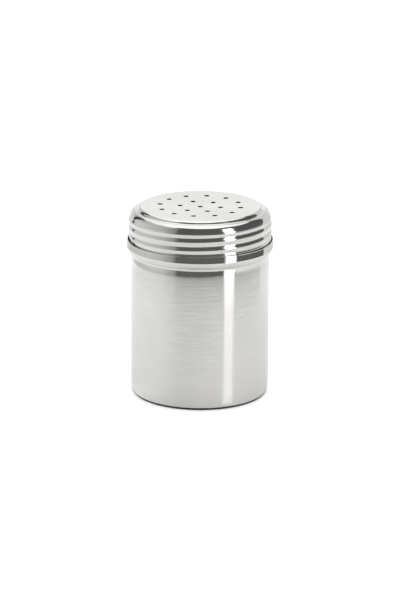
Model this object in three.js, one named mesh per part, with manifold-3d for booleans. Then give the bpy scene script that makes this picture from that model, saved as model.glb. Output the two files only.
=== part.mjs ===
// Stainless steel shaker with a perforated screw lid, in millimetres, +Z up.
// The origin is the centre of the surface that the shaker stands on. The front is the -Y side.
// Three pressings of thin sheet: a cup with an expanded mouth, a threaded neck ring fixed in that
// mouth, and a screw lid. The lid's skirt turns down on the neck, just inside the cup's collar.
import * as THREE from 'three';
import { mergeVertices } from 'three/addons/utils/BufferGeometryUtils.js';
import Module from 'manifold-3d';

const wasm = await Module();
wasm.setup();

// Whole shaker. Every level follows from the overall height and every radius from the body's
const overallHeight = 97.45;
const bodyDiameter = 70;

// Body: a drawn cup whose mouth is expanded into a collar, and the lid shows above the collar
const bodySheet = 0.55;
const collarExpansion = 2.05;
const lidShowing = 16.9;
const collarFaceHeight = 3.45;
const expansionHeight = 4.5;
const expansionOuterShare = 0.64;
const bottomTuck = 0.45;
const bottomTuckHeight = 8.5;
const bottomCornerRadius = 2.2;
const standingRingWidth = 5;
const baseRecess = 0.7;
const baseRecessSlope = 2.5;

// Screw thread, right-hand, rolled into the lid's skirt and into the neck. The clearance is between
// the neck's crests and the lid's roots
const threadPitch = 4.35;
const threadHeight = 0.6;
const threadCrestAtFront = 83.5;
const threadClearance = 0.1;

// Lid: one pressing, from the rolled skirt up to the dished disc. The crests of its thread clear
// the collar, the skirt's foot is a plain band as wide as the crests, and the disc is set in
const lidSheet = 0.45;
const lidCollarGap = 0.3;
const discInset = 5.74;
const lidDepth = 19.4;
const lidThreadDepth = 8.4;
const lidThreadFade = 4.4;
const lidFootHeight = 1.9;
const lidFootFade = 1.4;
const shoulderHeight = 3.7;
const rimStepHeight = 1.75;
const rimStepSlope = THREE.MathUtils.degToRad(60);
const rimFilletRadius = 0.8;
const rimEdgeRadius = 2;
const discDish = 0.6;

// Sprinkle holes: a centre hole, a ring of six and a ring of twelve. A ring's radius is a share of
// the disc's, and its turn is the angle from +X to its first hole. The punches pass the disc's
// faces by the overrun
const holeDiameter = 2.4;
const punchOverrun = 1;
const innerRingShare = 0.345;
const innerRingHoles = 6;
const innerRingTurn = THREE.MathUtils.degToRad(50.7);
const outerRingShare = 0.6865;
const outerRingHoles = 12;
const outerRingTurn = THREE.MathUtils.degToRad(20.7);

// Neck: a threaded ring fixed inside the mouth, under the lid
const neckSheet = 0.5;
const neckBandHeight = 9;
const neckBandGap = 0.3;
const neckFlareHeight = 4;
const neckSeatGap = 0.3;
const neckLipWidth = 2.2;
const neckLipHeight = 3.6;
const neckThreadDepth = 6.5;
const neckThreadFade = 4;

// Facets: columns round the axis, rows to a turn of thread, steps to a curve, sides to a hole
const columns = 40;
const rowsPerPitch = 5;
const curveSteps = 4;
const holeSides = 10;

// Sizes that follow from those above
const bodyRadius = bodyDiameter / 2;
const collarRadius = bodyRadius + collarExpansion;
const collarTop = overallHeight - lidShowing;
const expansionBottom = collarTop - collarFaceHeight - expansionHeight;
const lidRootRadius = collarRadius - bodySheet - lidCollarGap - threadHeight;
const lidBottom = overallHeight - lidDepth;
const discRadius = lidRootRadius - discInset;
const holeRings = [
  { count: 1, radius: 0, turn: 0 },
  { count: innerRingHoles, radius: discRadius * innerRingShare, turn: innerRingTurn },
  { count: outerRingHoles, radius: discRadius * outerRingShare, turn: outerRingTurn },
];
const neckRootRadius = lidRootRadius - lidSheet - threadClearance - threadHeight;
const neckBandRadius = bodyRadius - bodySheet - neckBandGap;
const neckBottom = expansionBottom - neckBandHeight;
const neckTop = overallHeight - rimStepHeight - lidSheet - neckSeatGap;
const neckHeight = neckTop - neckBottom;

// Outlines: a point is a distance from the axis and a height
function outlinePoint(radius, height) {
  return new THREE.Vector2(radius, height);
}

// An arc of an ellipse round a centre; angle 0 points away from the axis, a quarter turn points up
function arc(centre, width, height, startAngle, endAngle, steps = curveSteps) {
  const points = [];
  for (let i = 0; i <= steps; i += 1) {
    const angle = THREE.MathUtils.lerp(startAngle, endAngle, i / steps);
    points.push(outlinePoint(centre.x + width * Math.cos(angle), centre.y + height * Math.sin(angle)));
  }
  return points;
}

// A straight rise, short of its last point, with a row of points often enough to carry a thread
function threadedRise(start, end) {
  const rows = Math.max(1, Math.round((end.y - start.y) / threadPitch * rowsPerPitch));
  const points = [];
  for (let i = 0; i < rows; i += 1) {
    points.push(start.clone().lerp(end, i / rows));
  }
  return points;
}

// The inner face of a sheet: every point of its outer face moved to the left by the thickness
function innerFace(outer, thickness) {
  return outer.map((point, i) => {
    const before = outer[Math.max(i - 1, 0)];
    const after = outer[Math.min(i + 1, outer.length - 1)];
    const arriving = point.clone().sub(i === 0 ? point : before).normalize();
    const leaving = after.clone().sub(point).normalize();
    const along = arriving.clone().add(leaving).normalize();
    const corner = Math.max(arriving.dot(along), leaving.dot(along));
    const shift = thickness / corner;
    const onAxis = point.x === 0;
    if (onAxis) return outlinePoint(0, point.y + thickness * Math.sign(along.x));
    return outlinePoint(point.x - shift * along.y, point.y + shift * along.x);
  });
}

// The closed outline of a sheet, material on the left of its outer face
function sheetOutline(outer, thickness) {
  const inner = innerFace(outer, thickness).reverse();
  if (outer[0].x === 0) return [...outer, ...inner];
  if (outer[outer.length - 1].x === 0) return [...inner, ...outer];
  return [...outer, ...inner, outer[0].clone()];
}

// A solid of revolution round Z, its first column of points at the front
function turned(outline) {
  const geometry = new THREE.LatheGeometry(outline, columns);
  geometry.rotateX(Math.PI / 2);
  return geometry;
}

// How much of the thread's height a level has: all of it up to the fade, and none above the fade
function threadShare(height, span) {
  const fall = 1 - THREE.MathUtils.smoothstep(height, span.top, span.top + span.topFade);
  if (span.bottom === undefined) return fall;
  return fall * THREE.MathUtils.smoothstep(height, span.bottom, span.bottom + span.bottomFade);
}

// How much of a level is the plain band at a skirt's foot, which is as wide as the crests
function footShare(height, span) {
  if (span.foot === undefined) return 0;
  return 1 - THREE.MathUtils.smoothstep(height, span.foot, span.foot + span.footFade);
}

// Moves every point of a turned sheet outward by the ridge that passes it; baseHeight is the
// height of the piece's own zero level in the shaker, so that lid and neck share one thread
function rollThread(geometry, span, baseHeight) {
  const position = geometry.getAttribute('position');
  for (let i = 0; i < position.count; i += 1) {
    const x = position.getX(i);
    const y = position.getY(i);
    const height = position.getZ(i);
    const radius = Math.hypot(x, y);
    if (radius === 0) continue;
    const turnsFromFront = Math.atan2(x, -y) / (2 * Math.PI);
    const turnsUp = (height + baseHeight - threadCrestAtFront) / threadPitch;
    const ridge = (1 + Math.cos(2 * Math.PI * (turnsUp - turnsFromFront))) / 2;
    const share = THREE.MathUtils.lerp(ridge * threadShare(height, span), 1, footShare(height, span));
    const outward = (radius + threadHeight * share) / radius;
    position.setXY(i, x * outward, y * outward);
  }
  return geometry;
}

// A closed triangle mesh as a solid that can be joined and cut
function toSolid(geometry) {
  const bare = geometry.clone();
  bare.deleteAttribute('normal');
  bare.deleteAttribute('uv');
  const merged = mergeVertices(bare);
  const corners = merged.getIndex().array;
  const triangles = [];
  for (let i = 0; i < corners.length; i += 3) {
    const [a, b, c] = corners.slice(i, i + 3);
    if (a !== b && b !== c && c !== a) triangles.push(a, b, c);
  }
  return new wasm.Manifold(new wasm.Mesh({
    numProp: 3,
    vertProperties: new Float32Array(merged.getAttribute('position').array),
    triVerts: new Uint32Array(triangles),
  }));
}

// A solid as a named mesh with its material
function toMesh(name, solid, material) {
  const { vertProperties, triVerts } = solid.getMesh();
  const geometry = new THREE.BufferGeometry();
  geometry.setAttribute('position', new THREE.BufferAttribute(new Float32Array(vertProperties), 3));
  geometry.setIndex(new THREE.BufferAttribute(new Uint32Array(triVerts), 1));
  geometry.computeVertexNormals();
  const mesh = new THREE.Mesh(geometry, material);
  mesh.name = name;
  return mesh;
}

// Body shell: recessed base, standing ring, drawn-in foot, straight wall, expansion and collar
function bodyShell() {
  const standingOuter = bodyRadius - bottomTuck - bottomCornerRadius;
  const standingInner = standingOuter - standingRingWidth;
  const base = [
    outlinePoint(0, baseRecess),
    outlinePoint(standingInner - baseRecessSlope, baseRecess),
    outlinePoint(standingInner, 0),
  ];
  const cornerCentre = outlinePoint(standingOuter, bottomCornerRadius);
  const corner = arc(cornerCentre, bottomCornerRadius, bottomCornerRadius, -Math.PI / 2, 0);

  // The foot of the wall draws in a little, along a parabola
  const tuck = [];
  for (let i = 1; i < curveSteps; i += 1) {
    const rise = i / curveSteps;
    const height = THREE.MathUtils.lerp(bottomCornerRadius, bottomTuckHeight, rise);
    tuck.push(outlinePoint(bodyRadius - bottomTuck * (1 - rise) ** 2, height));
  }
  const wallBottom = outlinePoint(bodyRadius, bottomTuckHeight);

  // Two tangent arcs carry the wall out to the collar
  const lean = 2 * Math.atan2(collarExpansion, expansionHeight);
  const radii = expansionHeight / Math.sin(lean);
  const outerArc = radii * expansionOuterShare;
  const innerArc = radii - outerArc;
  const flareCentre = outlinePoint(bodyRadius + innerArc, expansionBottom);
  const flare = arc(flareCentre, innerArc, innerArc, Math.PI, Math.PI - lean);
  const roundCentre = outlinePoint(collarRadius - outerArc, expansionBottom + expansionHeight);
  const round = arc(roundCentre, outerArc, outerArc, -lean, 0).slice(1);

  const edge = outlinePoint(collarRadius, collarTop);
  const outer = [...base, ...corner, ...tuck, wallBottom, ...flare, ...round, edge];
  const material = new THREE.MeshStandardMaterial({ color: 0xc9c8c4, roughness: 0.32, metalness: 1 });
  return toMesh('body_shell', toSolid(turned(sheetOutline(outer, bodySheet))), material);
}

// Neck ring: a band inside the body wall, a flare, the thread and a lip turned in at the mouth
function neckRing() {
  const flareTop = neckBandHeight + neckFlareHeight;
  const lipBottom = neckHeight - neckLipHeight;
  const lipCentre = outlinePoint(neckRootRadius - neckLipWidth, lipBottom);
  const bandTop = outlinePoint(neckBandRadius, neckBandHeight);
  const threadBottom = outlinePoint(neckRootRadius, flareTop);
  const threadTop = outlinePoint(neckRootRadius, lipBottom);
  const outer = [
    outlinePoint(neckBandRadius, 0),
    ...threadedRise(bandTop, threadBottom),
    ...threadedRise(threadBottom, threadTop),
    ...arc(lipCentre, neckLipWidth, neckLipHeight, 0, Math.PI / 2),
  ];
  const span = {
    bottom: neckBandHeight + neckFlareHeight / 2,
    bottomFade: neckFlareHeight / 2,
    top: neckHeight - neckThreadDepth,
    topFade: neckThreadFade,
  };
  const sheet = rollThread(turned(sheetOutline(outer, neckSheet)), span, neckBottom);
  const material = new THREE.MeshStandardMaterial({ color: 0xbfbeba, roughness: 0.4, metalness: 1 });
  const neck = toMesh('neck_ring', toSolid(sheet), material);
  neck.position.z = neckBottom;
  return neck;
}

// The lid's outer face from the skirt's edge up the skirt, over the shoulder and the rim to the axis
function lidFace() {
  const saddleHeight = lidDepth - rimStepHeight;
  const shoulderBottom = saddleHeight - shoulderHeight;

  // The rim's edge, its sloping step and the fillet at its foot
  const edgeCentre = outlinePoint(discRadius, lidDepth - rimEdgeRadius);
  const slopeRise = rimStepHeight - (rimFilletRadius + rimEdgeRadius) * (1 - Math.cos(rimStepSlope));
  const arcRun = (rimFilletRadius + rimEdgeRadius) * Math.sin(rimStepSlope);
  const saddleRadius = discRadius + arcRun + slopeRise / Math.tan(rimStepSlope);
  const filletCentre = outlinePoint(saddleRadius, saddleHeight + rimFilletRadius);
  const down = -Math.PI / 2;
  const fillet = arc(filletCentre, rimFilletRadius, rimFilletRadius, down, down - rimStepSlope);
  const up = Math.PI / 2;
  const edge = arc(edgeCentre, rimEdgeRadius, rimEdgeRadius, up - rimStepSlope, up);

  const shoulderWidth = lidRootRadius - saddleRadius;
  const shoulderCentre = outlinePoint(saddleRadius, shoulderBottom);
  const shoulder = arc(shoulderCentre, shoulderWidth, shoulderHeight, 0, up, 2 * curveSteps);

  // The disc is dished: level at its rim, lowest at its centre
  const disc = [];
  for (let i = 1; i <= curveSteps; i += 1) {
    const share = 1 - i / curveSteps;
    const rise = 1 - (1 - share ** 2) ** 2;
    disc.push(outlinePoint(discRadius * share, lidDepth - discDish * (1 - rise)));
  }
  const skirtBottom = outlinePoint(lidRootRadius, 0);
  const skirt = threadedRise(skirtBottom, outlinePoint(lidRootRadius, shoulderBottom));
  return [...skirt, ...shoulder, ...fillet.slice(1), ...edge, ...disc];
}

// The sprinkle holes as one solid to cut away
function sprinkleHoles() {
  const length = discDish + lidSheet + 2 * punchOverrun;
  const middle = lidDepth + punchOverrun - length / 2;
  let holes = null;
  for (const ring of holeRings) {
    for (let i = 0; i < ring.count; i += 1) {
      const angle = ring.turn + 2 * Math.PI * i / ring.count;
      const punch = new THREE.CylinderGeometry(holeDiameter / 2, holeDiameter / 2, length, holeSides);
      punch.rotateX(Math.PI / 2);
      punch.translate(ring.radius * Math.cos(angle), ring.radius * Math.sin(angle), middle);
      const hole = toSolid(punch);
      holes = holes ? holes.add(hole) : hole;
    }
  }
  return holes;
}

// Screw lid: the rolled and dished pressing, with its holes punched through the disc
function screwLid() {
  const span = {
    foot: lidFootHeight,
    footFade: lidFootFade,
    top: lidDepth - lidThreadDepth,
    topFade: lidThreadFade,
  };
  const sheet = rollThread(turned(sheetOutline(lidFace(), lidSheet)), span, lidBottom);
  const material = new THREE.MeshStandardMaterial({ color: 0xd4d3d0, roughness: 0.22, metalness: 1 });
  const lid = toMesh('screw_lid', toSolid(sheet).subtract(sprinkleHoles()), material);
  lid.position.z = lidBottom;
  return lid;
}

const shaker = new THREE.Group();
shaker.add(bodyShell(), neckRing(), screwLid());

export default shaker;
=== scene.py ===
from math import atan2, cos, degrees, hypot, pi, radians, sin, tan

import bmesh
import bpy
from mathutils import Matrix, Vector, geometry


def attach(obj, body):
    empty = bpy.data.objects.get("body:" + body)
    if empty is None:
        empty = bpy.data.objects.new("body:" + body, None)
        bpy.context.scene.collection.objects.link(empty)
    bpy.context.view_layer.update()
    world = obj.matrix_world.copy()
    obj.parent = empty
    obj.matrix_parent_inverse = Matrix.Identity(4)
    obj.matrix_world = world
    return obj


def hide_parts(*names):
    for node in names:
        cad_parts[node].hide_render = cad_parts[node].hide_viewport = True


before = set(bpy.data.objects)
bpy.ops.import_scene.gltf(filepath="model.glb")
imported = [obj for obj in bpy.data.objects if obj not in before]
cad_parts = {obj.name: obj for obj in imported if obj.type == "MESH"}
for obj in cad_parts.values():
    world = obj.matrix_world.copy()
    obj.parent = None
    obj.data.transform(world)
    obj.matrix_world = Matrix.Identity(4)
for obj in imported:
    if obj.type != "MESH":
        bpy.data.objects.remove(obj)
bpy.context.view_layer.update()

# The camera: a long lens held 1.46 m away and looking down about 16.5 degrees, as a shop
# photographer frames a small pot on a table. It is turned by a quarter of a degree. Sizes in this
# script are in mm, and MM makes them metres.
MM = 0.001
image_height = 601
pixels_per_mm = 1.96826
camera_distance = 1461.2
camera_pitch = 0.28775
camera_roll = 0.00464
aim_side = 0.306
aim_height = 47.56
sensor_height = 36
nearest_seen = 50

camera_data = bpy.data.cameras.new("studio_camera")
camera_data.sensor_fit = "VERTICAL"
camera_data.sensor_height = sensor_height
camera_data.lens = pixels_per_mm * camera_distance * sensor_height / image_height
camera_data.clip_start = nearest_seen * MM
camera = bpy.data.objects.new("studio_camera", camera_data)
bpy.context.scene.collection.objects.link(camera)
camera.matrix_world = (
    Matrix.Translation(Vector((
        aim_side,
        -camera_distance * cos(camera_pitch),
        aim_height + camera_distance * sin(camera_pitch),
    )) * MM)
    @ Matrix.Rotation(pi / 2 - camera_pitch, 4, "X")
    @ Matrix.Rotation(camera_roll, 4, "Z")
)
bpy.context.scene.camera = camera
bpy.context.scene.view_settings.view_transform = "Standard"


# The studio: a white table top inside a ring of walls and cards, under a wide softbox. Polished
# steel shows little but what stands round it, so the cards' tones are the steel's tones: a dark
# room in front and on the right with a bright strip light in it, and pale walls behind and left.
def linear(hex_colour):
    """An sRGB hex colour as the linear colour that a shader takes."""
    parts = [int(hex_colour[i:i + 2], 16) / 255 for i in (1, 3, 5)]
    return tuple(p / 12.92 if p <= 0.04045 else ((p + 0.055) / 1.055) ** 2.4 for p in parts) + (1.0,)


def add_node(tree, kind, settings=None, **links):
    """A node with its settings. A link names an input, by its name or as _ and its number, and gives it a
    value or another node's output."""
    node = tree.nodes.new(kind)
    for name, value in (settings or {}).items():
        setattr(node, name, value)
    for key, value in links.items():
        socket = node.inputs[int(key[1:])] if key[1:].isdigit() else node.inputs[key.replace("_", " ")]
        if isinstance(value, bpy.types.NodeSocket):
            tree.links.new(value, socket)
        else:
            socket.default_value = value
    return node


def new_material(name):
    """A material and its node tree, which is empty."""
    material = bpy.data.materials.new(name)
    material.use_nodes = True
    material.node_tree.nodes.clear()
    return material, material.node_tree


def glowing(name, strength):
    """A card's paper, which gives out its own light, so that its tone in the steel is known."""
    material, tree = new_material(name)
    paper = add_node(tree, "ShaderNodeEmission", {"name": "paper"}, Color=(1, 1, 1, 1), Strength=strength)
    add_node(tree, "ShaderNodeOutputMaterial", Surface=paper.outputs[0])
    return material


def place_in_studio(name, sheet, material, in_gloss_alone=True):
    """Stands a sheet in the studio. One that is in gloss alone shows in the steel and not to the camera,
    and it casts no shadow."""
    mesh = bpy.data.meshes.new(name)
    sheet.to_mesh(mesh)
    sheet.free()
    mesh.materials.append(material)
    piece = bpy.data.objects.new(name, mesh)
    bpy.context.scene.collection.objects.link(piece)
    if in_gloss_alone:
        piece.visible_camera = False
        piece.visible_diffuse = False
        piece.visible_shadow = False
        piece.visible_transmission = False


def way_round(tree, place):
    """The way round the axis as a share: 0 and 1 at the back, 0.25 on the left and 0.5 in front."""
    parts = add_node(tree, "ShaderNodeSeparateXYZ", _0=place)
    forward = add_node(tree, "ShaderNodeMath", {"operation": "MULTIPLY"}, _0=parts.outputs[1], _1=-1.0)
    turn = add_node(tree, "ShaderNodeMath", {"operation": "ARCTAN2"}, _0=parts.outputs[0],
                    _1=forward.outputs[0])
    return add_node(tree, "ShaderNodeMapRange", Value=turn.outputs[0], From_Min=-pi, From_Max=pi).outputs[0]


def tones_along(tree, share, stops, low, high):
    """Grey tones along a share from 0 to 1, blended from stop to stop. A stop is a value between low,
    where the share is 0, and high, where it is 1, and the tone there."""
    ramp = add_node(tree, "ShaderNodeValToRGB", Fac=share)
    while len(ramp.color_ramp.elements) < len(stops):
        ramp.color_ramp.elements.new(0.5)
    for element, (value, tone) in zip(ramp.color_ramp.elements, stops):
        element.position = (value - low) / (high - low)
        element.color = (tone, tone, tone, 1)
    return ramp.outputs[0]


def card(name, first_way, last_way, radius, bottom, top, material, step=3):
    """An upright curved card round the shaker between two ways round, in degrees: 0 is in front and 90 on
    the right. Its bottom and its top each have a height at the first way and one at the last."""
    steps = max(2, int((last_way - first_way) / step))
    sheet = bmesh.new()
    rows = []
    for first, last in (bottom, top):
        row = []
        for i in range(steps + 1):
            turn = radians(first_way + (last_way - first_way) * i / steps)
            height = first + (last - first) * i / steps
            row.append(sheet.verts.new((radius * sin(turn) * MM, -radius * cos(turn) * MM, height * MM)))
        rows.append(row)
    for i in range(steps):
        sheet.faces.new((rows[0][i], rows[0][i + 1], rows[1][i + 1], rows[1][i]))
    place_in_studio(name, sheet, material)


# The walls: pale behind and on the left, dark in front and on the right, and a little brighter
# between 28 and 130 mm up. A stop is a way round and its tone, or a height and its tone.
wall_radius = 270
wall_height = 520
wall_gain = 1.28
wall_tones_round = (
    (-180, 0.78), (-150, 0.72), (-144, 0.66), (-125, 0.6), (-84, 0.62), (-60, 0.54), (-47, 0.38),
    (-40, 0.3), (-35.5, 0.125), (-28, 0.115), (56, 0.115), (62, 0.105), (145, 0.105), (149, 0.75),
    (180, 0.78),
)
wall_tones_up = ((0, 0.86), (14, 0.88), (28, 1.0), (130, 1.0), (175, 0.78), (wall_height, 0.78))
wall_foot = (0, 0)
wall_top = (wall_height, wall_height)

wall_paper = glowing("room_wall", wall_gain)
tree = wall_paper.node_tree
place = add_node(tree, "ShaderNodeTexCoord").outputs["Object"]
tone_round = tones_along(tree, way_round(tree, place), wall_tones_round, -180, 180)
parts = add_node(tree, "ShaderNodeSeparateXYZ", _0=place)
level = add_node(tree, "ShaderNodeMapRange", Value=parts.outputs[2], From_Max=wall_height * MM)
tone_up = tones_along(tree, level.outputs[0], wall_tones_up, 0, wall_height)
wall_tone = add_node(tree, "ShaderNodeVectorMath", {"operation": "MULTIPLY"}, _0=tone_round, _1=tone_up)
tree.links.new(wall_tone.outputs[0], tree.nodes["paper"].inputs["Color"])
card("room_walls", -180, 180, wall_radius, wall_foot, wall_top, wall_paper)

# Cards just inside the walls. The shoulder and the rim mirror the high and the pale ones, the ridges
# on the right a low one, the disc the white one. A dark board on a stand makes the dark hook on the
# left of the shoulder. The strip light has a softer edge behind it.
card_radius = wall_radius - 1
edge_radius = wall_radius - 2
board_radius = wall_radius - 3
arm_radius = wall_radius - 3.5
high_corner = -124
right_corner = 148
right_middle = 112
board_top = (285, 285)
stand_top = (150, 150)
strip_top = (300, 300)
high_paper = glowing("high_card", 1.2)
pale_paper = glowing("pale_card", 0.8)
dark_paper = glowing("dark_card", 0.05)
white_paper = glowing("white_card", 1.08)
edge_paper = glowing("strip_edge", 0.45)
strip_paper = glowing("strip_light", 2.0)
card("high_back_card", -180, high_corner, card_radius, (200, 335), wall_top, high_paper)
card("high_left_card", high_corner, -50, card_radius, (350, 372), wall_top, high_paper)
card("high_right_card", 78, right_corner, card_radius, (450, 350), wall_top, high_paper)
card("low_right_card", 58, right_middle, card_radius, (26, 20), (62, 70), pale_paper)
card("pale_right_card", right_middle, right_corner, card_radius, wall_foot, (105, 345), pale_paper)
card("dark_stand_card", -131.5, high_corner, board_radius, (88, 88), stand_top, dark_paper)
card("dark_board_card", -135, -121, board_radius, (150, 140), board_top, dark_paper)
card("dark_arm_card", -142, -118, arm_radius, (180, 246), board_top, dark_paper)
card("white_back_card", 168, 192, edge_radius, wall_foot, (445, 445), white_paper)
card("strip_edge_card", 35.5, 56.0, edge_radius, wall_foot, strip_top, edge_paper)
card("bright_strip_card", 38.0, 54.5, board_radius, wall_foot, strip_top, strip_paper)

# The strip's shine on the table, a soft edge and a bright middle. Its sides are the tracks on the
# ground that two upright lines on the cup's wall mirror. A table shines less where it is seen
# steeply, so the lower part of the cup mirrors it a little weaker.
body_radius = 35.0
track_start = 4.0
track_end = 233.0
steep_facing = 0.35
flat_facing = 0.72
for name, first_line, last_line, height, steep_shine, flat_shine in (
    ("strip_edge_on_table", 18.6, 30.0, 0.2, 0.8, 0.92),
    ("strip_on_table", 20.4, 28.0, 0.3, 0.92, 1.17),
):
    sheet = bmesh.new()
    corners = []
    for way, away in (
        (first_line, track_start),
        (first_line, track_end),
        (last_line, track_end),
        (last_line, track_start),
    ):
        side = body_radius * sin(radians(way)) + away * sin(radians(2 * way))
        back = -body_radius * cos(radians(way)) - away * cos(radians(2 * way))
        corners.append(sheet.verts.new((side * MM, back * MM, height * MM)))
    sheet.faces.new(corners)
    table_shine = glowing(name, 1.0)
    tree = table_shine.node_tree
    slant = add_node(tree, "ShaderNodeLayerWeight").outputs["Facing"]
    shine = add_node(tree, "ShaderNodeMapRange", Value=slant, From_Min=steep_facing, From_Max=flat_facing,
                     To_Min=steep_shine, To_Max=flat_shine)
    tree.links.new(shine.outputs[0], tree.nodes["paper"].inputs["Strength"])
    place_in_studio(name, sheet, table_shine)

# The softbox, straight above and wider than the room is high
softbox_radius = 600
softbox_height = 900
sheet = bmesh.new()
overhead = Matrix.Translation((0, 0, softbox_height * MM))
bmesh.ops.create_circle(sheet, cap_ends=True, segments=48, radius=softbox_radius * MM, matrix=overhead)
place_in_studio("softbox", sheet, glowing("softbox_cloth", 1.4))

# The shade under the cup's corner, as the corner itself mirrors it
shade_radius = 35.2
shade_height = 0.1
sheet = bmesh.new()
underneath = Matrix.Translation((0, 0, shade_height * MM))
bmesh.ops.create_circle(sheet, cap_ends=True, segments=96, radius=shade_radius * MM, matrix=underneath)
place_in_studio("contact_shade", sheet, glowing("contact_shade", 0.04))

# White card stock for the table top: dead matt. To the camera it is lifted to the white of the
# photograph's ground, and it still carries the shaker's shadow. In the steel it glows a little too, painted
# light that changes by the way round and is stronger far out and near the cup's left foot. Under the cup it
# isn't lifted.
floor_reach = 3000
# Painted light in the steel: the floor's glow by the way round, and its extra glow near the left foot
floor_glow_round = (
    (-180, 0.08), (-150, 0.11), (-95, 0.11), (-60, 0.07), (-22, 0.0), (8, 0.03), (35, 0.08), (75, 0.055),
    (180, 0.07),
)
foot_glow_round = (
    (-180, 0.0), (-120, 0.0), (-102, 0.03), (-85, 0.13), (-70, 0.17), (-35, 0.04), (-10, 0.0), (180, 0.0),
)
camera_lift = 0.36
far_out_lift = 0.11
far_out_from = 150
far_out_to = 250
near_foot_from = 40
near_foot_to = 70
lift_from = 32.5
lift_to = 33.8

floor_paper_and_glow, tree = new_material("white_card_stock_and_painted_glow")
path = add_node(tree, "ShaderNodeLightPath")
matt = add_node(tree, "ShaderNodeBsdfDiffuse", Color=linear("#F2F2F2"))
place = add_node(tree, "ShaderNodeTexCoord").outputs["Object"]
way = way_round(tree, place)
floor_glow = tones_along(tree, way, floor_glow_round, -180, 180)
foot_glow = tones_along(tree, way, foot_glow_round, -180, 180)
far = add_node(tree, "ShaderNodeVectorMath", {"operation": "LENGTH"}, _0=place).outputs["Value"]
far_out = add_node(tree, "ShaderNodeMapRange", Value=far, From_Min=far_out_from * MM,
                   From_Max=far_out_to * MM, To_Min=0.0, To_Max=far_out_lift)
near_foot = add_node(tree, "ShaderNodeMapRange", Value=far, From_Min=near_foot_from * MM,
                     From_Max=near_foot_to * MM, To_Min=1.0, To_Max=0.0)
with_foot = add_node(tree, "ShaderNodeMath", {"operation": "MULTIPLY_ADD"}, _0=near_foot.outputs[0],
                     _1=foot_glow, _2=floor_glow)
in_steel = add_node(tree, "ShaderNodeMath", {"operation": "ADD"}, _0=with_foot.outputs[0],
                    _1=far_out.outputs[0])
to_steel = add_node(tree, "ShaderNodeMath", {"operation": "MULTIPLY"}, _0=path.outputs["Is Glossy Ray"],
                    _1=in_steel.outputs[0])
lift = add_node(tree, "ShaderNodeMath", {"operation": "MULTIPLY_ADD"}, _0=path.outputs["Is Camera Ray"],
                _1=camera_lift, _2=to_steel.outputs[0])
clear_of_cup = add_node(tree, "ShaderNodeMapRange", Value=far, From_Min=lift_from * MM,
                        From_Max=lift_to * MM)
clear_lift = add_node(tree, "ShaderNodeMath", {"operation": "MULTIPLY"}, _0=lift.outputs[0],
                      _1=clear_of_cup.outputs[0])
glow = add_node(tree, "ShaderNodeEmission", Color=(1, 1, 1, 1), Strength=clear_lift.outputs[0])
lifted_matt = add_node(tree, "ShaderNodeAddShader", _0=matt.outputs[0], _1=glow.outputs[0])
add_node(tree, "ShaderNodeOutputMaterial", Surface=lifted_matt.outputs[0])
sheet = bmesh.new()
bmesh.ops.create_grid(sheet, x_segments=1, y_segments=1, size=floor_reach * MM)
place_in_studio("floor", sheet, floor_paper_and_glow, in_gloss_alone=False)

world = bpy.data.worlds.new("studio")
bpy.context.scene.world = world
world.use_nodes = True
world.node_tree.nodes.clear()
air = add_node(world.node_tree, "ShaderNodeBackground", Color=(1, 1, 1, 1), Strength=1.0)
add_node(world.node_tree, "ShaderNodeOutputWorld", Surface=air.outputs[0])


# The cup: one deep-drawn pressing of 18/8 stainless sheet. Its mouth is expanded into a collar that
# hides the foot of the lid, and its base is set in a little, so that it stands on a ring. Just under
# the expansion the wall isn't quite even: it has a waist at the front and a slight swell on the right.
body_sheet = 0.55
collar_radius = 37.05
collar_top = 80.55
collar_face_height = 3.45
expansion_height = 4.5
expansion_outer_share = 0.64
bottom_tuck = 0.45
bottom_tuck_height = 8.5
bottom_corner = 2.2
waist_depth = 0.12
waist_height = 3.0
swell_share = 0.5
waist_begins = (-78, -48)
waist_turns_to_swell = (23, 33)
swell_ends = (110, 150)
standing_width = 5.0
base_recess = 0.7
base_slope = 2.5
base_step = 4.0
cut_edge = 0.15
tuck_steps = 12
waist_steps = 8
columns = 320
axis_width = 1e-9
sharp_angle = 42


def arc(centre_r, centre_z, width, height, start, end, steps):
    """Points on an arc of an ellipse round a centre; angles in degrees, 0 away from the axis and 90 up."""
    points = []
    for i in range(steps + 1):
        turn = radians(start + (end - start) * i / steps)
        points.append((centre_r + width * cos(turn), centre_z + height * sin(turn)))
    return points


def rise(start, end, step):
    """Points from one to another, short of the last, about a step apart."""
    run = end[0] - start[0]
    climb = end[1] - start[1]
    count = max(1, round(hypot(run, climb) / step))
    return [(start[0] + run * i / count, start[1] + climb * i / count) for i in range(count)]


def inner_side(outer, thickness):
    """The sheet's inner side: each point of its outer side moved to the left by the thickness."""
    points = []
    for i, (r, z) in enumerate(outer):
        before = outer[max(i - 1, 0)]
        after = outer[min(i + 1, len(outer) - 1)]
        arriving = Vector((r - before[0], z - before[1]))
        leaving = Vector((after[0] - r, after[1] - z))
        arriving = arriving.normalized() if arriving.length else leaving.normalized()
        leaving = leaving.normalized() if leaving.length else arriving
        along = (arriving + leaving).normalized()
        shift = thickness / max(arriving.dot(along), leaving.dot(along))
        if r == 0:
            points.append((0.0, z + thickness * (1 if along[0] > 0 else -1)))
        else:
            points.append((r - shift * along[1], z + shift * along[0]))
    return points


def smooth(value, low, high):
    """0 below low, 1 above high and an S-shaped rise between them."""
    share = min(max((value - low) / (high - low), 0.0), 1.0)
    return share * share * (3 - 2 * share)


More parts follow.
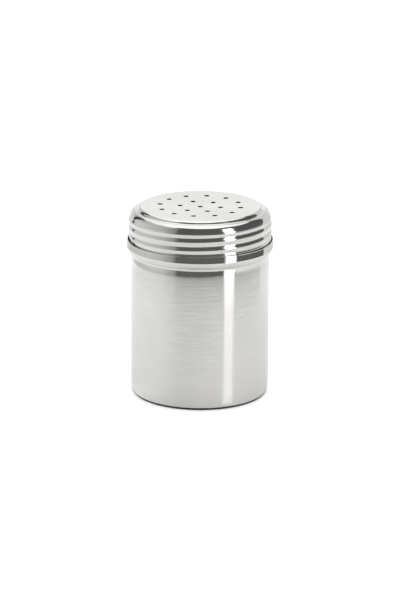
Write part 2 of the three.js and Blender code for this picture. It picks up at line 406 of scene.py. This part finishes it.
def turned_sheet(profile, closed, shape):
    """A bmesh of a profile turned round Z, and its rings of vertices. A point on the axis becomes one
    vertex. shape gives each vertex's distance from the axis."""
    sheet = bmesh.new()
    rings = []
    for r, z in profile:
        if r < axis_width:
            rings.append([sheet.verts.new((0, 0, z * MM))] * columns)
            continue
        ring = []
        for i in range(columns):
            turn = 2 * pi * i / columns
            radius = shape(r, z, turn)
            ring.append(sheet.verts.new((radius * sin(turn) * MM, -radius * cos(turn) * MM, z * MM)))
        rings.append(ring)
    uppers = rings[1:] + rings[:1] if closed else rings[1:]
    for low, high in zip(rings, uppers):
        for i in range(columns):
            j = (i + 1) % columns
            corners = []
            for vertex in (low[i], low[j], high[j], high[i]):
                if vertex not in corners:
                    corners.append(vertex)
            if len(corners) > 2:
                sheet.faces.new(corners)
    return sheet, rings


def as_piece(name, sheet, materials, body, node):
    """Turns a bmesh into a piece: smooth, with its materials, on its body, in place of its CAD node."""
    bmesh.ops.recalc_face_normals(sheet, faces=sheet.faces)
    mesh = bpy.data.meshes.new(name)
    sheet.to_mesh(mesh)
    sheet.free()
    mesh.polygons.foreach_set("use_smooth", [True] * len(mesh.polygons))
    mesh.set_sharp_from_angle(angle=radians(sharp_angle))
    for material in materials:
        mesh.materials.append(material)
    piece = bpy.data.objects.new(name, mesh)
    bpy.context.scene.collection.objects.link(piece)
    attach(piece, body)
    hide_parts(node)


def steel(name, colour, land, line, line_share, softness, spread, spacing, polished=None, satin=None):
    """Stainless steel worked round the axis, with fine lines that run round it. land and line are the
    roughness between the lines and in them, line_share is about the part of the face that they take,
    softness is how gently they end, spread is the anisotropy, and spacing is in mm. The lines fade out
    above the height polished, and a little higher on the right. Inside the radius satin there is a
    matt grain instead."""
    line_stretch = 0.004
    shift_per_share = 2.4
    patches_per_metre = 70.0
    line_depth = 0.005

    # The lines: noise that is stretched along them, so that it changes only upward and outward
    material, tree = new_material(name)
    place = add_node(tree, "ShaderNodeTexCoord").outputs["Object"]
    flat = add_node(tree, "ShaderNodeVectorMath", {"operation": "MULTIPLY"}, _0=place, _1=(1, 1, 0))
    away = add_node(tree, "ShaderNodeVectorMath", {"operation": "LENGTH"}, _0=flat.outputs[0])
    far = away.outputs["Value"]
    run = add_node(tree, "ShaderNodeVectorMath", {"operation": "MULTIPLY"}, _0=place,
                   _1=(line_stretch, line_stretch, 1))
    outward = add_node(tree, "ShaderNodeCombineXYZ", _0=far)
    strand = add_node(tree, "ShaderNodeVectorMath", {"operation": "ADD"}, _0=run.outputs[0],
                      _1=outward.outputs[0])
    lines = add_node(tree, "ShaderNodeTexNoise", Vector=strand.outputs[0], Scale=1 / (spacing * MM),
                     Detail=2.0, Roughness=0.6).outputs[0]
    middle = 0.5 + shift_per_share * softness * (0.5 - line_share)
    mask = add_node(tree, "ShaderNodeMapRange", Value=lines, From_Min=middle - softness,
                    From_Max=middle + softness).outputs[0]
    if polished:
        fade_below = 3.0
        fade_above = 0.5
        reach_on_right = 0.13
        lines_kept = 0.06
        parts = add_node(tree, "ShaderNodeSeparateXYZ", _0=place)
        rightward = add_node(tree, "ShaderNodeMath", {"operation": "MAXIMUM"}, _0=parts.outputs[0], _1=0.0)
        level = add_node(tree, "ShaderNodeMath", {"operation": "MULTIPLY_ADD"}, _0=rightward.outputs[0],
                         _1=-reach_on_right, _2=parts.outputs[2])
        fade = add_node(tree, "ShaderNodeMapRange", Value=level.outputs[0],
                        From_Min=(polished - fade_below) * MM, From_Max=(polished + fade_above) * MM,
                        To_Min=1.0, To_Max=lines_kept)
        faded = add_node(tree, "ShaderNodeMath", {"operation": "MULTIPLY"}, _0=mask, _1=fade.outputs[0])
        mask = faded.outputs[0]
    rough = add_node(tree, "ShaderNodeMapRange", Value=mask, To_Min=land, To_Max=line).outputs[0]
    patches = add_node(tree, "ShaderNodeTexNoise", Vector=place, Scale=patches_per_metre, Detail=4.0,
                       Roughness=0.6)
    tone = add_node(tree, "ShaderNodeMapRange", Value=patches.outputs[0], From_Min=0.3, From_Max=0.7,
                    To_Min=0.975, To_Max=1.02).outputs[0]
    height = lines
    if satin:
        satin_edge = 0.6
        satin_roughness = 0.3
        grain_size = 0.5
        inside = add_node(tree, "ShaderNodeMapRange", Value=far, From_Min=satin * MM,
                          From_Max=(satin - satin_edge) * MM).outputs[0]
        speck = add_node(tree, "ShaderNodeTexNoise", Vector=place, Scale=1 / (grain_size * MM), Detail=2.0,
                         Roughness=0.7).outputs[0]
        grain = add_node(tree, "ShaderNodeMapRange", Value=speck, From_Min=0.3, From_Max=0.7,
                         To_Min=0.93, To_Max=1.07).outputs[0]
        rough = add_node(tree, "ShaderNodeMix", _0=inside, _2=rough, _3=satin_roughness).outputs[0]
        tone = add_node(tree, "ShaderNodeMix", _0=inside, _2=tone, _3=grain).outputs[0]
        height = add_node(tree, "ShaderNodeMix", _0=inside, _2=lines, _3=speck).outputs[0]

    # The metal: its anisotropy is turned a quarter, so that light spreads across the lines
    bump = add_node(tree, "ShaderNodeBump", Strength=0.12, Distance=line_depth * MM, Height=height)
    tint = add_node(tree, "ShaderNodeVectorMath", {"operation": "SCALE"}, _0=linear(colour)[:3], Scale=tone)
    tangent = add_node(tree, "ShaderNodeTangent", {"direction_type": "RADIAL", "axis": "Z"})
    metal = add_node(tree, "ShaderNodeBsdfPrincipled", Base_Color=tint.outputs[0], Metallic=1.0,
                     Roughness=rough, Anisotropic=spread, Anisotropic_Rotation=0.25,
                     Tangent=tangent.outputs[0], Normal=bump.outputs[0])
    add_node(tree, "ShaderNodeOutputMaterial", Surface=metal.outputs[0])
    return material


standing_outer = body_radius - bottom_tuck - bottom_corner
standing_inner = standing_outer - standing_width
recess_radius = standing_inner - base_slope
expansion_bottom = collar_top - collar_face_height - expansion_height
expansion_top = expansion_bottom + expansion_height
waist_radius = body_radius - waist_depth
waist_bottom = expansion_bottom - waist_height
lean = degrees(2 * atan2(collar_radius - waist_radius, expansion_height))
arc_sum = expansion_height / sin(radians(lean))
outer_arc = arc_sum * expansion_outer_share
inner_arc = arc_sum - outer_arc

# The cup's outer side, from the middle of the base up to the collar
cup_face = [(0.0, base_recess)]
cup_face += rise((base_step, base_recess), (recess_radius, base_recess), step=base_step)
cup_face += rise((recess_radius, base_recess), (standing_inner, 0.0), step=0.5)
cup_face += rise((standing_inner, 0.0), (standing_outer, 0.0), step=1.5)
cup_face += arc(standing_outer, bottom_corner, bottom_corner, bottom_corner, -90, 0, steps=8)
for i in range(1, tuck_steps):
    share = i / tuck_steps
    height = bottom_corner + (bottom_tuck_height - bottom_corner) * share
    cup_face.append((body_radius - bottom_tuck * (1 - share) ** 2, height))
cup_face += rise((body_radius, bottom_tuck_height), (body_radius, waist_bottom), step=2.0)
for i in range(waist_steps):
    share = i / waist_steps
    height = expansion_bottom - waist_height * (1 - share)
    cup_face.append((body_radius - waist_depth * share * share, height))
cup_face += arc(waist_radius + inner_arc, expansion_bottom, inner_arc, inner_arc, 180, 180 - lean, steps=10)
cup_face += arc(collar_radius - outer_arc, expansion_top, outer_arc, outer_arc, -lean, 0, steps=14)[1:]
cup_face += rise((collar_radius, expansion_top), (collar_radius, collar_top - cut_edge), step=0.5)[1:]
cup_face.append((collar_radius, collar_top - cut_edge))
cup_lining = inner_side(cup_face, body_sheet)

# The collar's cut edge, rounded at both corners
lining_radius = collar_radius - body_sheet
cut_height = collar_top - cut_edge
cup_edge = arc(collar_radius - cut_edge, cut_height, cut_edge, cut_edge, 0, 90, steps=5)[1:]
cup_edge += arc(lining_radius + cut_edge, cut_height, cut_edge, cut_edge, 90, 180, steps=5)[:-1]


def cup_shape(r, z, turn):
    """A cup point's distance from the axis. The profile has the waist all round, and here it is filled up
    at the left and the back, and more than filled up on the right. Ways round are in degrees."""
    way = degrees((turn + pi) % (2 * pi) - pi)
    waist = smooth(way, *waist_begins) - (1 + swell_share) * smooth(way, *waist_turns_to_swell)
    waist += swell_share * smooth(way, *swell_ends)
    below = min(max((z - expansion_bottom) / waist_height + 1, 0.0), 1.0) ** 2
    above = 1 - smooth(z, expansion_bottom, expansion_top)
    return r + waist_depth * min(below, above) * (1 - waist)


cup_form, _ = turned_sheet(cup_face + cup_edge + cup_lining[::-1], closed=False, shape=cup_shape)

# Brushed stainless steel: a belt finish put on while the cup spins, so the lines run round it. The
# eye sees soft upright bands of light and dark, and close up the lines themselves, 0.06 mm apart as
# on real ones, so that a picture of the whole cup shows their average. The top of the wall and the
# collar are polished.
cup_steel = steel("brushed_stainless_cup", "#DEDDDA", land=0.045, line=0.42, line_share=0.34, softness=0.32,
                  spread=0.9, spacing=0.06, polished=69.5)
as_piece("cup", cup_form, [cup_steel], "cup", "body_shell")


# The neck: a rolled ring of the same steel, spot-welded inside the cup's mouth. It carries the
# right-hand thread that the lid turns down on, and its lip turns in under the lid's rim.
overall_height = 97.45
rim_step_height = 1.75
lid_sheet = 0.45
lid_root = 35.6
thread_pitch = 4.35
thread_height = 0.6
thread_crest_at_front = 83.5
thread_clearance = 0.1
thread_skew = 0.25
neck_sheet = 0.5
neck_band_height = 9.0
neck_band_gap = 0.3
neck_flare_height = 4.0
neck_seat_gap = 0.3
neck_lip_width = 2.2
neck_lip_height = 3.6
neck_thread_depth = 6.5
neck_thread_fade = 4.0
thread_step = 0.3


def round_edge(first, last, steps=4):
    """The rounded edge of the sheet, a half circle between its two sides, without the end points."""
    middle = Vector(((first[0] + last[0]) / 2, (first[1] + last[1]) / 2))
    arm = Vector(first) - middle
    points = []
    for i in range(1, steps):
        turn = pi * i / steps
        points.append((
            middle[0] + arm[0] * cos(turn) - arm[1] * sin(turn),
            middle[1] + arm[0] * sin(turn) + arm[1] * cos(turn),
        ))
    return points


def ridge(height, turn):
    """The rolled thread: 1 on its crest and 0 in its root. The turn is measured from the front,
    anticlockwise from above. The skew makes a crest's lower and upper flanks unlike."""
    turn = (turn + pi) % (2 * pi) - pi
    phase = 2 * pi * (height - thread_crest_at_front) / thread_pitch - turn
    return (1 + cos(phase + thread_skew * (1 - cos(phase)))) / 2


neck_root = lid_root - lid_sheet - thread_clearance - thread_height
neck_band = body_radius - body_sheet - neck_band_gap
neck_bottom = expansion_bottom - neck_band_height
neck_top = overall_height - rim_step_height - lid_sheet - neck_seat_gap
neck_flare_bottom = neck_bottom + neck_band_height
neck_flare_top = neck_flare_bottom + neck_flare_height
neck_thread_top = neck_top - neck_thread_depth
lip_bottom = neck_top - neck_lip_height
lip_centre = neck_root - neck_lip_width
neck_face = rise((neck_band, neck_bottom), (neck_band, neck_flare_bottom), step=1.5)
neck_face += rise((neck_band, neck_flare_bottom), (neck_root, neck_flare_top), thread_step)
neck_face += rise((neck_root, neck_flare_top), (neck_root, lip_bottom), thread_step)
neck_face += arc(lip_centre, lip_bottom, neck_lip_width, neck_lip_height, 0, 90, steps=12)
neck_lining = inner_side(neck_face, neck_sheet)
neck_profile = neck_face + round_edge(neck_face[-1], neck_lining[-1])
neck_profile += neck_lining[::-1] + round_edge(neck_lining[0], neck_face[0])


def neck_shape(r, z, turn):
    """A neck point's distance from the axis, with the thread rolled in."""
    share = smooth(z, neck_flare_bottom + neck_flare_height / 2, neck_flare_top)
    share *= 1 - smooth(z, neck_thread_top, neck_thread_top + neck_thread_fade)
    return r + thread_height * ridge(z, turn) * share


neck_form, _ = turned_sheet(neck_profile, closed=True, shape=neck_shape)

# Mill-finish stainless steel: as it came from the rolling mill. The eye sees an even dull silver.
# Its faint lines are drawn coarser than real ones, 0.5 mm apart.
neck_steel = steel("mill_finish_stainless_neck", "#D2D0CC", land=0.3, line=0.42, line_share=0.5,
                   softness=0.12, spread=0.3, spacing=0.5)
as_piece("neck", neck_form, [neck_steel], "cup", "neck_ring")


# The lid: one pressing of thinner sheet. Its skirt is rolled with the thread, its shoulder rounds up
# to a raised rim, and nineteen holes are punched down through the dished disc.
lid_depth = 19.4
lid_thread_depth = 7.0
lid_thread_fade = 3.6
lid_foot_height = 2.3
lid_foot_fade = 2.7
lid_foot_share = 0.6
shoulder_height = 3.7
rim_slope = 60.0
rim_fillet = 0.8
rim_edge = 2.0
disc_radius = 29.86
disc_dish = 0.6
plate_radius = 28.4
plate_rings = 25
border_steps = 4

lid_bottom = overall_height - lid_depth
lid_thread_top = overall_height - lid_thread_depth
lid_foot_top = lid_bottom + lid_foot_height
saddle_height = overall_height - rim_step_height
shoulder_bottom = saddle_height - shoulder_height
slope_rise = rim_step_height - (rim_fillet + rim_edge) * (1 - cos(radians(rim_slope)))
arc_run = (rim_fillet + rim_edge) * sin(radians(rim_slope))
saddle_radius = disc_radius + arc_run + slope_rise / tan(radians(rim_slope))
shoulder_width = lid_root - saddle_radius
fillet_height = saddle_height + rim_fillet
edge_height = overall_height - rim_edge


def disc_height(r):
    """The height of the dished disc's upper face at a distance from the axis."""
    return overall_height - disc_dish * (1 - (r / disc_radius) ** 2) ** 2


# The lid's outer side, from the skirt's edge up over the shoulder and the rim to the disc's border
lid_face = rise((lid_root, lid_bottom + lid_sheet / 2), (lid_root, shoulder_bottom), thread_step)
lid_face += arc(saddle_radius, shoulder_bottom, shoulder_width, shoulder_height, 0, 90, steps=20)
lid_face += arc(saddle_radius, fillet_height, rim_fillet, rim_fillet, -90, -90 - rim_slope, steps=6)[1:]
lid_face += arc(disc_radius, edge_height, rim_edge, rim_edge, 90 - rim_slope, 90, steps=8)
for i in range(1, border_steps + 1):
    r = disc_radius + (plate_radius - disc_radius) * i / border_steps
    lid_face.append((r, disc_height(r)))
lid_lining = inner_side(lid_face, lid_sheet)
lid_profile = lid_face[::-1] + round_edge(lid_face[0], lid_lining[0]) + lid_lining


def lid_shape(r, z, turn):
    """A lid point's distance from the axis, with the thread rolled in and a plain band at its foot."""
    share = 1 - smooth(z, lid_thread_top, lid_thread_top + lid_thread_fade)
    foot = 1 - smooth(z, lid_foot_top, lid_foot_top + lid_foot_fade)
    return r + thread_height * (foot * lid_foot_share + (1 - foot) * ridge(z, turn) * share)


lid_form, lid_rings = turned_sheet(lid_profile, closed=False, shape=lid_shape)

# The punched plate inside the border: one hole in the middle, six and twelve round it. A ring is its
# number of holes, its radius and the way round of its first hole. The punch rolls in each hole's
# edge: a level of its wall is a radius and how far it lies below the disc's face.
hole_rings = ((1, 0.0, 0.0), (6, 10.3, 50.7), (12, 20.5, 20.7))
hole_radius = 1.2
hole_roll = 0.15
mouth_radius = hole_radius + hole_roll
hole_sides = 32
hole_levels = ((hole_radius + hole_roll * 0.3, 0.03), (hole_radius, 0.09), (hole_radius, lid_sheet - 0.02))
mouth_margin = 0.35
mouth_fill = 0.97
hole_centres = []
for count, ring_radius, first in hole_rings:
    for i in range(count):
        turn = radians(first + 360 * i / count)
        hole_centres.append((ring_radius * cos(turn), ring_radius * sin(turn)))

# The plate's points: its border, then the mouths of the holes, then a loose pattern between them
given = [(vertex.co.x / MM, vertex.co.y / MM) for vertex in lid_rings[0]]
edges = [(i, (i + 1) % columns) for i in range(columns)]
for cx, cy in hole_centres:
    start = len(given)
    for i in range(hole_sides):
        turn = 2 * pi * i / hole_sides
        given.append((cx + mouth_radius * cos(turn), cy + mouth_radius * sin(turn)))
        edges.append((start + i, start + (i + 1) % hole_sides))
for k in range(1, plate_rings):
    r = plate_radius * k / plate_rings
    count = max(6, round(2 * pi * r / (plate_radius / plate_rings)))
    for i in range(count):
        turn = 2 * pi * (i + 0.5 * (k % 2)) / count
        x = r * cos(turn)
        y = r * sin(turn)
        if all(hypot(x - cx, y - cy) > mouth_radius + mouth_margin for cx, cy in hole_centres):
            given.append((x, y))
points = [Vector(point) for point in given]
plate, _, triangles, owners_of, _, _ = geometry.delaunay_2d_cdt(points, edges, [], 0, 1e-6)
place_of = {owner: i for i, owners in enumerate(owners_of) for owner in owners}


def plate_face(border, drop):
    """One face of the plate, at a drop below the disc's upper face and inside a ring of vertices. Gives
    its vertices in the order of the plate's points."""
    vertices = []
    for point, owners in zip(plate, owners_of):
        at_border = next((owner for owner in owners if owner < columns), None)
        if at_border is not None:
            vertices.append(border[at_border])
        else:
            height = disc_height(point.length) - drop
            vertices.append(lid_form.verts.new((point.x * MM, point.y * MM, height * MM)))
    for corners in triangles:
        middle = sum((plate[i] for i in corners), Vector((0, 0))) / 3
        if all(hypot(middle.x - cx, middle.y - cy) > mouth_radius * mouth_fill for cx, cy in hole_centres):
            lid_form.faces.new([vertices[i] for i in corners])
    return vertices


upper = plate_face(lid_rings[0], 0)
lower = plate_face(lid_rings[-1], lid_sheet)
for h, (cx, cy) in enumerate(hole_centres):
    mouth = [place_of[columns + h * hole_sides + i] for i in range(hole_sides)]
    levels = [[upper[i] for i in mouth]]
    for r, drop in hole_levels:
        level = []
        for i in range(hole_sides):
            turn = 2 * pi * i / hole_sides
            x = cx + r * cos(turn)
            y = cy + r * sin(turn)
            level.append(lid_form.verts.new((x * MM, y * MM, (disc_height(hypot(x, y)) - drop) * MM)))
        levels.append(level)
    levels.append([lower[i] for i in mouth])
    for above, below in zip(levels, levels[1:]):
        for i in range(hole_sides):
            j = (i + 1) % hole_sides
            lid_form.faces.new((above[i], above[j], below[j], below[i])).material_index = 1

# Polished stainless steel: buffed while the lid spins, so it mirrors the room with faint round
# lines. The disc keeps the fine matt grain of the sheet, which the eye sees as an even pale grey.
# Both are drawn coarser than real ones: the lines 0.3 mm apart and the grain 0.5 mm.
lid_steel = steel("buffed_stainless_lid", "#DDDCDA", land=0.06, line=0.2, line_share=0.25, softness=0.12,
                  spread=0.5, spacing=0.3, satin=29.6)

# Sheared steel: the torn wall that a punch leaves, rough and dull. Its near-black colour is painted shade,
# so the holes look dark.
tear_size = 0.15
tear_depth = 0.03
sheared_shaded_steel, tree = new_material("sheared_edge_painted_shade")
place = add_node(tree, "ShaderNodeTexCoord").outputs["Object"]
tear = add_node(tree, "ShaderNodeTexNoise", Vector=place, Scale=1 / (tear_size * MM), Detail=3.0,
                Roughness=0.7).outputs[0]
dull = add_node(tree, "ShaderNodeMapRange", Value=tear, From_Min=0.3, From_Max=0.7, To_Min=0.4, To_Max=0.65)
torn = add_node(tree, "ShaderNodeBump", Strength=0.6, Distance=tear_depth * MM, Height=tear)
# The hole walls' near-black base colour is painted shade for the dark inside of the holes.
metal = add_node(tree, "ShaderNodeBsdfPrincipled", Base_Color=linear("#1F1E1D"), Metallic=1.0,
                 Roughness=dull.outputs[0], Normal=torn.outputs[0])
add_node(tree, "ShaderNodeOutputMaterial", Surface=metal.outputs[0])
as_piece("lid", lid_form, [lid_steel, sheared_shaded_steel], "lid", "screw_lid")
